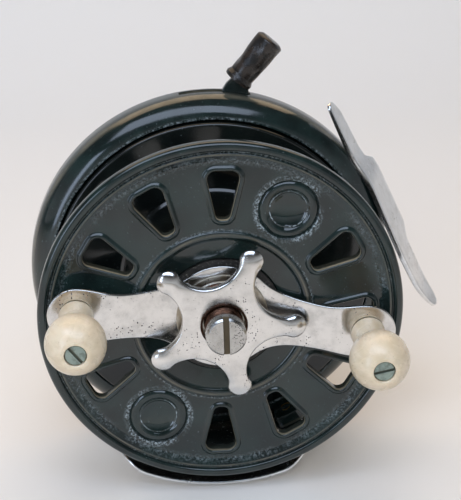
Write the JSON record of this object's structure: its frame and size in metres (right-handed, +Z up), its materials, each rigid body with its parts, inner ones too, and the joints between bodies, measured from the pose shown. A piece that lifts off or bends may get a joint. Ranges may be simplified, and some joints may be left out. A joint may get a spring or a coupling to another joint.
{
  "type": "star-drag centre-pin sea fishing reel",
  "caption": "Moulded centre-pin sea reel with a pierced spool, twin-handle crank, star drag, check lever, line guard and rod foot.",
  "frame": {"origin": "on the spindle axis, midway between the spool's front plane and its rear flange", "axes": "+Y along the spindle from the handles to the rear frame, +Z up past the check lever"},
  "size_m": [0.1401, 0.0946, 0.1418],
  "materials": {
    "bakelite_green_black": "gloss",
    "chrome_plate": "polished, pitted",
    "steel": "turned",
    "aged_brass": "dull",
    "ivory_plastic": "polished",
    "black_rubber": "worn",
    "leather": "oiled",
    "red_fibre": "matt"
  },
  "bodies": {
    "frame": {"rear_frame": "bakelite_green_black", "spindle": "steel", "spindle_washer": "steel", "spindle_nut": "chrome_plate", "centre_screw": "chrome_plate", "foot_bracket": "chrome_plate", "foot_screws": "steel", "line_guard": "chrome_plate", "guard_screws": "steel", "guard_inserts": "aged_brass", "lever_retainer": "aged_brass", "pawl_pin": "steel", "pawl_spring": "steel", "spring_post": "steel"},
    "crank": {"crank_plate": "chrome_plate", "drive_sleeve": "aged_brass", "ratchet_wheel": "steel", "fibre_washer": "red_fibre", "spring_washer": "steel", "knob_pins": "steel", "knob_screws": "steel"},
    "spool": {"spool_front_flange": "bakelite_green_black", "spool_core": "bakelite_green_black", "spool_rear_flange": "bakelite_green_black", "spool_screws": "steel", "spool_bush": "aged_brass", "drag_washer_front": "leather", "drag_washer_rear": "leather"},
    "thrust": {"thrust_washer": "steel"},
    "star": {"star_wheel": "chrome_plate"},
    "right_knob": {"knob_right": "ivory_plastic"},
    "left_knob": {"knob_left": "ivory_plastic"},
    "lever": {"lever_arm": "chrome_plate", "lift_pin": "steel", "lever_grip": "black_rubber"},
    "pawl": {"check_pawl": "steel"}
  },
  "joints": [
    {"name": "crank_turn", "type": "hinge", "parent": "frame", "child": "crank", "pos_m": [0, 0, 0], "axis": [0, 1, 0], "continuous": true},
    {"name": "drag_slip", "type": "hinge", "parent": "crank", "child": "spool", "pos_m": [0, 0, 0], "axis": [0, 1, 0], "continuous": true},
    {"name": "thrust_travel", "type": "slide", "parent": "crank", "child": "thrust", "axis": [0, 1, 0], "range_m": [-0.00102, 0.0002]},
    {"name": "star_turn", "type": "hinge", "parent": "thrust", "child": "star", "pos_m": [0, -0.0215, 0], "axis": [0, 1, 0], "range_deg": [-360, 72]},
    {"name": "knob_right_turn", "type": "hinge", "parent": "crank", "child": "right_knob", "pos_m": [0.04525, -0.035, -0.00476], "axis": [0, 1, 0], "continuous": true},
    {"name": "knob_left_turn", "type": "hinge", "parent": "crank", "child": "left_knob", "pos_m": [-0.04525, -0.035, 0.00476], "axis": [0, 1, 0], "continuous": true},
    {"name": "check_lever", "type": "hinge", "parent": "frame", "child": "lever", "pos_m": [0, 0.0285, 0], "axis": [0, -1, 0], "range_deg": [0, 13]},
    {"name": "pawl_swing", "type": "hinge", "parent": "frame", "child": "pawl", "pos_m": [0.02212, 0.024, 0.01549], "axis": [0, 1, 0], "range_deg": [0, 7.02]}
  ],
  "couplings": [
    {"joint": "thrust_travel", "follows": "star_turn", "m_per_rad": 0.00015915},
    {"joint": "pawl_swing", "follows": "check_lever", "ratio": 0.53846}
  ]
}
